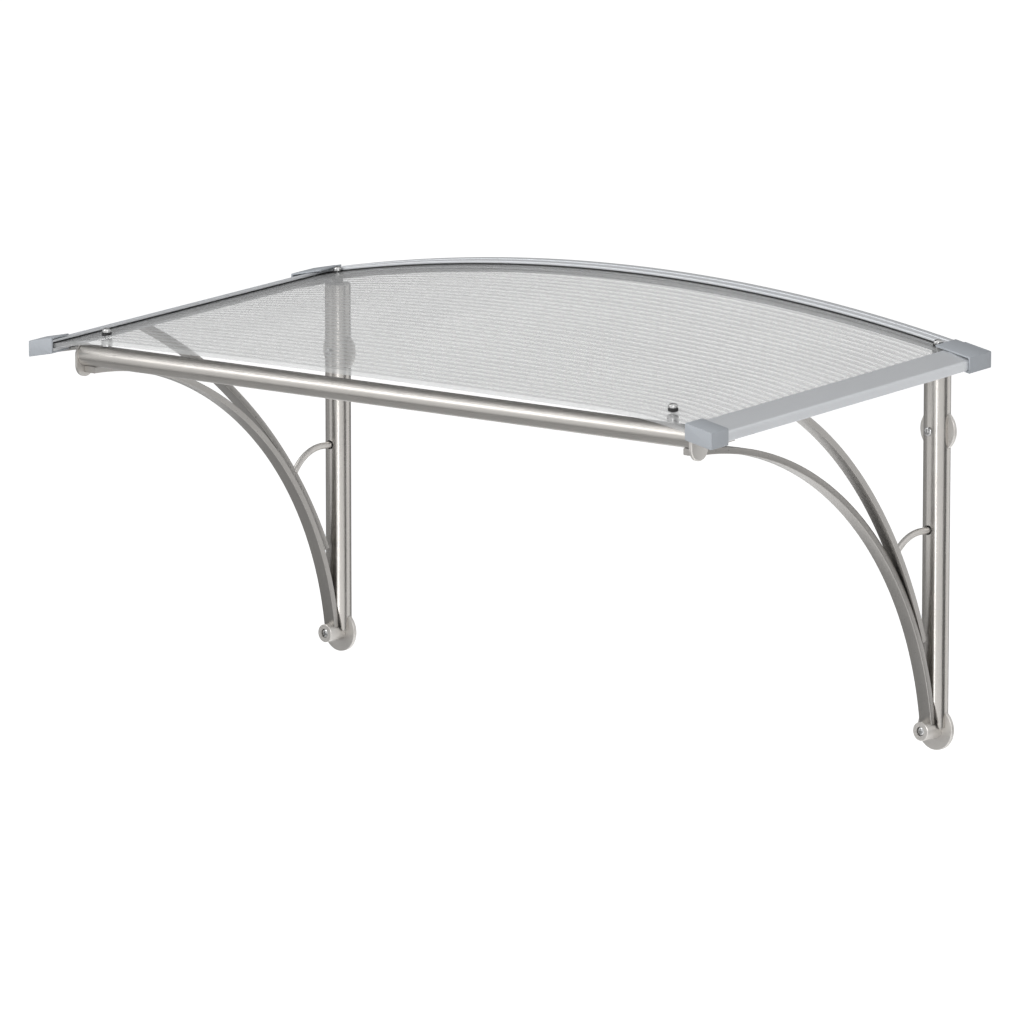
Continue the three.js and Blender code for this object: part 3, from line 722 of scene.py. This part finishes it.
def front_arch(arc):
    """Flat bar whose lower end sits on the pin, at pin_z + sqrt(r^2 - x^2) across its width."""
    centre, radius = arc
    section = bar_section()
    seat = PIN_Z + np.sqrt((PIN_RADIUS + SEAT) ** 2 - section[:, 1] ** 2)
    start = np.pi - np.arcsin((seat - centre[1]) / (radius + section[:, 0]))
    end = np.arccos(FRONT_ARCH_PAST / radius)
    end_x = TUBE_HALF - BAR_WIDTH / 2
    swing = (end_x - POST_X) / (FRONT_ARCH_PAST + radius)
    return flat_bar(arc, start, end, lambda out: POST_X + swing * (out - centre[0] + radius))


def side_arch(arc, join_z):
    """Flat bar whose upper end meets the profile's sloping underside, found by a few fixed-point steps."""
    centre, radius = arc
    section = bar_section()
    reach = radius + section[:, 0]
    start = np.pi - np.arcsin((join_z - centre[1]) / radius)
    start_out = centre[0] + radius * np.cos(start)
    end_out = SIDE_ARCH_OUT + BAR_WIDTH
    swing = (SIDE_ARCH_X - POST_X) / (end_out - start_out)

    def place_x(out):
        return POST_X + swing * (out - start_out)

    end = np.full(len(section), np.arccos((end_out - centre[0]) / radius))
    for _ in range(SLOPE_TRIES):
        out = centre[0] + reach * np.cos(end)
        under = PROFILE_UNDER - SEAT + roof_height(place_x(out) + section[:, 1], -out)
        end = np.pi - np.arcsin((under - centre[1]) / reach)
    return flat_bar(arc, start, end, place_x)


def strut_rod(side_arc):
    """Round rod, straight out of the post and then down a quarter circle as far as the side arch's back.

    Each ring lies across the route's tangent: point + r * (sin a * normal in out and z, cos a along x).
    """
    bend_from = POST_FRONT + STRUT_STRAIGHT
    turn = np.linspace(np.pi / 2, 0, STRUT_BEND_STEPS)
    round_it = np.stack([np.cos(turn), np.sin(turn)], axis=1)
    bend = np.array([bend_from, STRUT_Z - STRUT_BEND]) + STRUT_BEND * round_it
    inside = side_arc[1] + BAR_THICK / 2 - STRUT_IN_BAR
    last = int(np.argmax(np.linalg.norm(bend - side_arc[0], axis=1) < inside))
    outs = np.linspace(-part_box("strut_right")[1][1], bend_from, STRUT_STRAIGHT_STEPS, endpoint=False)
    straight = np.stack([outs, np.full(len(outs), STRUT_Z)], axis=1)
    route = np.concatenate([straight, bend[: last + 1: STRUT_EVERY]])
    tangent = np.gradient(route, axis=0)
    tangent /= np.linalg.norm(tangent, axis=1, keepdims=True)
    normal = np.stack([-tangent[:, 1], tangent[:, 0]], axis=1)
    angle = np.linspace(0, 2 * np.pi, SMALL_STEPS, endpoint=False)
    across = route[:, None] + STRUT_RADIUS * np.sin(angle)[None, :, None] * normal[:, None]
    sideways = np.broadcast_to(POST_X + STRUT_RADIUS * np.cos(angle), across.shape[:2])
    return ring_mesh(np.stack([sideways, -across[..., 0], across[..., 1]], axis=-1))


def mitred_post(front_arc):
    """Tube whose foot at each point is the highest of a level cut, the pin's saddle and the arch's back.

    Saddle: pin_z + sqrt(r^2 - x^2). Back of the arch: its centre's z + sqrt(R^2 - (out - centre's out)^2).
    """
    angle = np.linspace(0, 2 * np.pi, 2 * ROUND_STEPS, endpoint=False)
    inner = POST_RADIUS - POST_WALL
    reach = np.array([inner, POST_RADIUS, POST_RADIUS, inner])[:, None]
    across = reach * np.cos(angle)
    outs = POST_OUT + reach * np.sin(angle)
    centre, radius = front_arc
    back = radius + BAR_THICK / 2 + SEAT
    saddle = PIN_Z + np.sqrt(np.maximum((PIN_RADIUS + SEAT) ** 2 - across ** 2, 0))
    mitre = centre[1] + np.sqrt(np.maximum(back ** 2 - (outs - centre[0]) ** 2, 0))
    z = np.maximum(np.maximum(saddle, mitre), PIN_Z + POST_FOOT)
    z[2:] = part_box("post_right")[1][2]
    return ring_mesh(np.stack([POST_X + across, -outs, z], axis=-1), closed_path=True)


def post_cutters():
    """Holes in the post for the strut and the upper screw, and room for the two wall discs."""
    screw_z = middle("upper_screw_right", 2)
    cutters = [
        round_bar(STRUT_HOLE, -POST_FRONT - BAR_THICK, -POST_OUT, (POST_X, 0, STRUT_Z), "y"),
        round_bar(BORE, -2 * POST_FRONT, POST_FRONT, (POST_X, 0, screw_z), "y"),
    ]
    for disc in ("upper_disc_right", "lower_disc_right"):
        radius, face = half_size(disc, 2) + SEAT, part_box(disc)[0][1]
        place = (POST_X, 0, middle(disc, 2))
        cutters.append(round_bar(radius, face + DISC_THICK + SEAT, face - SEAT, place, "y", ROUND_STEPS))
    return cutters


def post_plug():
    """Turned plug in the post's top, with a flange whose edge is broken."""
    low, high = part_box("post_plug_right")
    fit, flange = POST_RADIUS - POST_WALL - SEAT, high[2] - PLUG_FLANGE
    profile = [
        (fit, low[2]), (fit, flange), (POST_RADIUS, flange), (POST_RADIUS, high[2] - EDGE_BREAK),
        (POST_RADIUS - EDGE_BREAK, high[2]),
    ]
    return solid_turned(profile, (POST_X, -POST_OUT, 0), "z")


def wall_disc(node):
    """Bored stand from the back plane with a disc at its front, whose edge is a quarter circle."""
    radius, front = half_size(node, 2), -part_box(node)[0][1]
    bend = np.linspace(0, np.pi / 2, DISC_EDGE_STEPS)
    corner = np.array([radius - DISC_EDGE, front - DISC_EDGE])
    rim = corner + DISC_EDGE * np.stack([np.cos(bend), np.sin(bend)], axis=1)
    back = front - DISC_THICK
    stand = [(BORE, 0), (STAND_RADIUS, 0), (STAND_RADIUS, back), (radius, back)]
    profile = np.concatenate([stand, rim, [(BORE, front)]])
    return hollow_turned(profile * [1, -1], (POST_X, 0, middle(node, 2)), "y")


def wall_pin():
    """Bored pin under the post's foot, with a recess for its screw's head."""
    low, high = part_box("lower_pin_right")
    tip, back = low[1], high[1]
    floor = tip + PIN_RECESS
    profile = [
        (BORE, back), (PIN_RADIUS, back), (PIN_RADIUS, tip + EDGE_BREAK), (PIN_RADIUS - EDGE_BREAK, tip),
        (PIN_RECESS_RADIUS, tip), (PIN_RECESS_RADIUS, floor), (BORE, floor),
    ]
    return hollow_turned(profile, (POST_X, 0, PIN_Z), "y")


def domed_profile(radius, foot, top, head, steps):
    """Section of a shank from foot and a head up to top, whose dome is a quarter of an ellipse."""
    way = 1 if top > foot else -1
    bend = np.linspace(0, np.pi / 2, steps, endpoint=False)
    rise = head * DOME_SHARE
    dome = np.stack([radius * np.cos(bend), top - way * rise * (1 - np.sin(bend))], axis=1)
    return [(SHANK, foot), (SHANK, top - way * head), (radius, top - way * head), *dome.tolist()]


def slot_cutter(place, axis, radius, near, far):
    """Bar as wide as a head's slot and longer than the head is across, from near to far along an axis."""
    rings = np.full((2, 4, 3), place, dtype=float)
    across = [i for i in range(3) if i != axis]
    rings[..., across] += rectangle(-HEAD_SLOT / 2, HEAD_SLOT / 2, -2 * radius, 2 * radius)
    rings[..., axis] += [[near], [far]]
    return ring_mesh(rings)


def wall_fixing(level):
    """Wall disc and its slotted screw, upper or lower."""
    pair(level + "_wall_disc", level + "_disc", wall_disc(level + "_disc_right"), STEEL_TURNED)
    node = level + "_screw_right"
    low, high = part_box(node)
    radius, z = half_size(node, 2), middle(node, 2)
    profile = domed_profile(radius, high[1], low[1], SCREW_HEAD, SCREW_DOME_STEPS)
    screw = solid_turned(profile, (POST_X, 0, z), "y", SMALL_STEPS)
    slot = slot_cutter((POST_X, low[1], z), 1, radius, SCREW_SLOT_DEEP, -SCREW_HEAD)
    pair(level + "_wall_screw", level + "_screw", screw, BOLT_STEEL, cutters=[slot])


def bracket():
    """Pieces of a bracket. The arcs of its two bars come first, because post and strut are cut to them."""
    front_arc = front_circle()
    side_arc, join_z = side_circle(front_arc)
    pair("front_arch_bar", "front_arch", front_arch(front_arc), STEEL_BAR)
    pair("side_arch_bar", "side_arch", side_arch(side_arc, join_z), STEEL_BAR)
    pair("strut_rod", "strut", strut_rod(side_arc), STEEL_TURNED)
    pair("post_top_plug", "post_plug", post_plug(), STEEL_TURNED)
    wall_fixing("upper")
    wall_fixing("lower")
    pair("wall_post", "post", mitred_post(front_arc), STEEL_UPRIGHT, cutters=post_cutters())
    pair("wall_pin", "lower_pin", wall_pin(), STEEL_TURNED)


# Front tube and roof bolts

def end_plate(radius, face, end):
    """Long plate with half-round ends: y and z = r * (cos a, sin a), the lower half dropped by TUBE_CAP_DROP.

    Its rings run from the tube's side to the outside, where r shrinks along a quarter circle.
    """
    angle = np.linspace(0, 2 * np.pi, ROUND_STEPS, endpoint=False)
    bend = np.linspace(0, np.pi / 2, TUBE_CAP_EDGE_STEPS)
    reach = np.concatenate([[radius], radius - TUBE_CAP_EDGE + TUBE_CAP_EDGE * np.cos(bend)])[:, None]
    place = np.concatenate([[face], end - TUBE_CAP_EDGE + TUBE_CAP_EDGE * np.sin(bend)])[:, None]
    drop = np.where(np.sin(angle) < 0, TUBE_CAP_DROP, 0)
    shape = [place + 0 * angle, reach * np.cos(angle) - TUBE_OUT, TUBE_Z + reach * np.sin(angle) - drop]
    return ring_mesh(np.stack(shape, axis=-1))


def front_tube():
    """Round tube under the roof's front, with a plug, a long plate and a tongue on each end."""
    axis = (0, -TUBE_OUT, TUBE_Z)
    inner = TUBE_RADIUS - TUBE_WALL
    wall = rectangle(inner, TUBE_RADIUS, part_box("front_tube")[0][0], TUBE_HALF)
    piece("front_round_tube", "front_tube", hollow_turned(wall, axis, "x"), STEEL_ACROSS)
    low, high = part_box("tube_cap_right")
    face = TUBE_HALF + SEAT
    end = face + TUBE_CAP_THICK
    plug = round_bar(inner - SEAT, low[0], face + TUBE_CAP_EDGE, axis, "x", ROUND_STEPS)
    plate = end_plate(half_size("tube_cap_right", 1), face, end)
    top = PROFILE_UNDER - SEAT
    section = filleted(rectangle(end - TUBE_CAP_EDGE, high[0], top - TONGUE_THICK, top), EDGE_BREAK)
    tongue = along_out(section, [TUBE_OUT - TONGUE_HALF, TUBE_OUT + TONGUE_HALF])
    pair("tube_end_cap", "tube_cap", merged(plug, plate, tongue), STEEL_TURNED)


def roof_ring(node, above):
    """Ring round a bolt: flat on one side, and on the other it follows the sheet's top or underside."""
    low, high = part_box(node)
    place = (middle(node, 0), middle(node, 1), 0)
    rings = turned(rectangle(BORE, half_size(node, 1), 0, 1), place, "z", SMALL_STEPS)
    roof = roof_height(rings[..., 0], rings[..., 1])
    foot = roof + SHEET_TOP + SEAT if above else low[2]
    top = high[2] if above else roof + SHEET_UNDER - SEAT
    rings[..., 2] = np.where(rings[..., 2] > 0.5, top, foot)
    return ring_mesh(rings, closed_path=True)


def roof_bolts(row, spacer_finish):
    """Slotted domed bolt with a rubber washer above the sheet and a spacer below it."""
    node = row + "_bolt_right"
    low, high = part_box(node)
    x, y, radius = middle(node, 0), middle(node, 1), half_size(node, 1)
    profile = domed_profile(radius, low[2], high[2], BOLT_HEAD, BOLT_DOME_STEPS)
    bolt = solid_turned(profile, (x, y, 0), "z", SMALL_STEPS)
    slot = slot_cutter((x, y, high[2]), 2, radius, -BOLT_SLOT_DEEP, BOLT_HEAD)
    washer = roof_ring(row + "_washer_right", above=True)
    spacer = roof_ring(row + "_spacer_right", above=False)
    pair(row + "_roof_bolt", row + "_bolt", bolt, BOLT_STEEL, cutters=[slot])
    pair(row + "_rubber_washer", row + "_washer", washer, BLACK_RUBBER)
    pair(row + "_spacer_ring", row + "_spacer", spacer, spacer_finish)


# Camera, light and floor

def camera():
    """Long-lens camera on the line from the target at the given azimuth and elevation."""
    data = bpy.data.cameras.new("camera")
    data.sensor_fit = "HORIZONTAL"
    data.sensor_width = SENSOR_MM
    data.lens = FOCAL_PIXELS / IMAGE_PIXELS * SENSOR_MM
    data.clip_end = VIEW_REACH
    obj = bpy.data.objects.new("camera", data)
    level = math.cos(ELEVATION)
    away = np.array([math.sin(AZIMUTH) * level, -math.cos(AZIMUTH) * level, math.sin(ELEVATION)])
    obj.location = np.array(TARGET) + DISTANCE * away
    obj.rotation_euler = (math.pi / 2 - ELEVATION, 0, AZIMUTH)
    bpy.context.scene.collection.objects.link(obj)
    bpy.context.scene.camera = obj


def area_lamp(name, place, aim, size, power):
    """Soft lamp of a given width and height that faces aim."""
    data = bpy.data.lights.new(name, "AREA")
    data.shape = "RECTANGLE"
    data.size, data.size_y = size
    data.energy = power
    obj = bpy.data.objects.new(name, data)
    obj.location = place
    obj.rotation_euler = (Vector(aim) - Vector(place)).to_track_quat("-Z", "Y").to_euler()
    bpy.context.scene.collection.objects.link(obj)


def seen_rays(tree):
    """Socket that is 1 on camera, glossy and transmission rays."""
    path = add_node(tree, "LightPath")
    total = path.outputs["Is Camera Ray"]
    for kind in ("Is Glossy Ray", "Is Transmission Ray"):
        either = add_node(tree, "Math", operation="MAXIMUM")
        wire(tree, (total, either.inputs[0]), (path.outputs[kind], either.inputs[1]))
        total = either.outputs[0]
    return total


def pale_world():
    """World brighter in front than behind, and white to the camera, reflections and clear surfaces."""
    world = bpy.data.worlds.new("pale_world")
    bpy.context.scene.world = world
    world.use_nodes = True
    tree = world.node_tree
    back = tree.nodes["Background"]
    back.inputs["Color"].default_value = (1, 1, 1, 1)
    place = add_node(tree, "TexCoord")
    split = add_node(tree, "SeparateXYZ")
    levels = {
        "From Min": WORLD_SPREAD, "To Min": WORLD_BEHIND,
        "From Max": -WORLD_SPREAD, "To Max": WORLD_IN_FRONT,
    }
    level = add_node(tree, "MapRange", levels, interpolation_type="SMOOTHSTEP")
    white = add_node(tree, "Math", operation="MAXIMUM")
    wire(
        tree,
        (place.outputs["Generated"], split.inputs[0]),
        (split.outputs["Y"], level.inputs["Value"]),
        (level.outputs[0], white.inputs[0]),
        (seen_rays(tree), white.inputs[1]),
        (white.outputs[0], back.inputs["Strength"]),
    )


def stage_material(name):
    """Empty node material, its tree and the socket of its surface."""
    material = bpy.data.materials.new(name)
    material.use_nodes = True
    tree = material.node_tree
    tree.nodes.clear()
    return material, tree, add_node(tree, "OutputMaterial").inputs["Surface"]


def stage_object(name, vertices, faces, material):
    """Mesh object that belongs to the studio."""
    mesh = bpy.data.meshes.new(name)
    mesh.from_pydata(vertices, [], faces)
    mesh.materials.append(material)
    obj = bpy.data.objects.new(name, mesh)
    bpy.context.scene.collection.objects.link(obj)
    return obj


def reflected_card(name, bearings, near, far, level):
    """Card that only reflections see: a sheet between two arcs of reach and height round the origin."""
    bearing = np.radians(np.linspace(*bearings, CARD_STEPS))
    ways = np.stack([np.sin(bearing), -np.cos(bearing)], axis=1)
    rows = [np.column_stack([reach * ways, np.full(CARD_STEPS, z)]) for reach, z in (near, far)]
    material, tree, surface = stage_material(name)
    glow = add_node(tree, "Emission", {"Strength": level})
    wire(tree, (glow.outputs[0], surface))
    faces = strip_faces(2, CARD_STEPS, closed_ring=False)
    card = stage_object(name, np.concatenate(rows).tolist(), faces, material)
    card.visible_camera = False
    card.visible_diffuse = False
    card.visible_transmission = False
    card.visible_shadow = False


def pale_floor():
    """Flat floor that takes shadows, glows enough to look white, and is clear from below."""
    material, tree, surface = stage_material("pale_floor")
    matt = add_node(tree, "BsdfDiffuse", {"Color": (FLOOR_GREY, FLOOR_GREY, FLOOR_GREY, 1)})
    level = add_node(tree, "Math", {1: FLOOR_GLOW}, operation="MULTIPLY")
    glow = add_node(tree, "Emission")
    both = add_node(tree, "AddShader")
    under = add_node(tree, "NewGeometry")
    clear = add_node(tree, "BsdfTransparent")
    either = add_node(tree, "MixShader")
    wire(
        tree,
        (seen_rays(tree), level.inputs[0]),
        (level.outputs[0], glow.inputs["Strength"]),
        (matt.outputs[0], both.inputs[0]),
        (glow.outputs[0], both.inputs[1]),
        (under.outputs["Backfacing"], either.inputs[0]),
        (both.outputs[0], either.inputs[1]),
        (clear.outputs[0], either.inputs[2]),
        (either.outputs[0], surface),
    )
    corners = rectangle(-FLOOR_REACH, FLOOR_REACH, -FLOOR_REACH, FLOOR_REACH)
    stage_object("floor", [(x, y, FLOOR_Z) for x, y in corners], [(0, 1, 2, 3)], material)


def studio():
    """World, lamps, cards and floor."""
    pale_world()
    for name, lamp in LAMPS.items():
        area_lamp(name, *lamp)
    for name, card in CARDS.items():
        reflected_card(name, *card)
    pale_floor()


roof_sheet()
wall_rail()
side_edges()
bracket()
front_tube()
roof_bolts("front", BOLT_STEEL)
roof_bolts("rear", BLACK_RUBBER)
camera()
studio()
bpy.context.scene.view_settings.view_transform = "Standard"
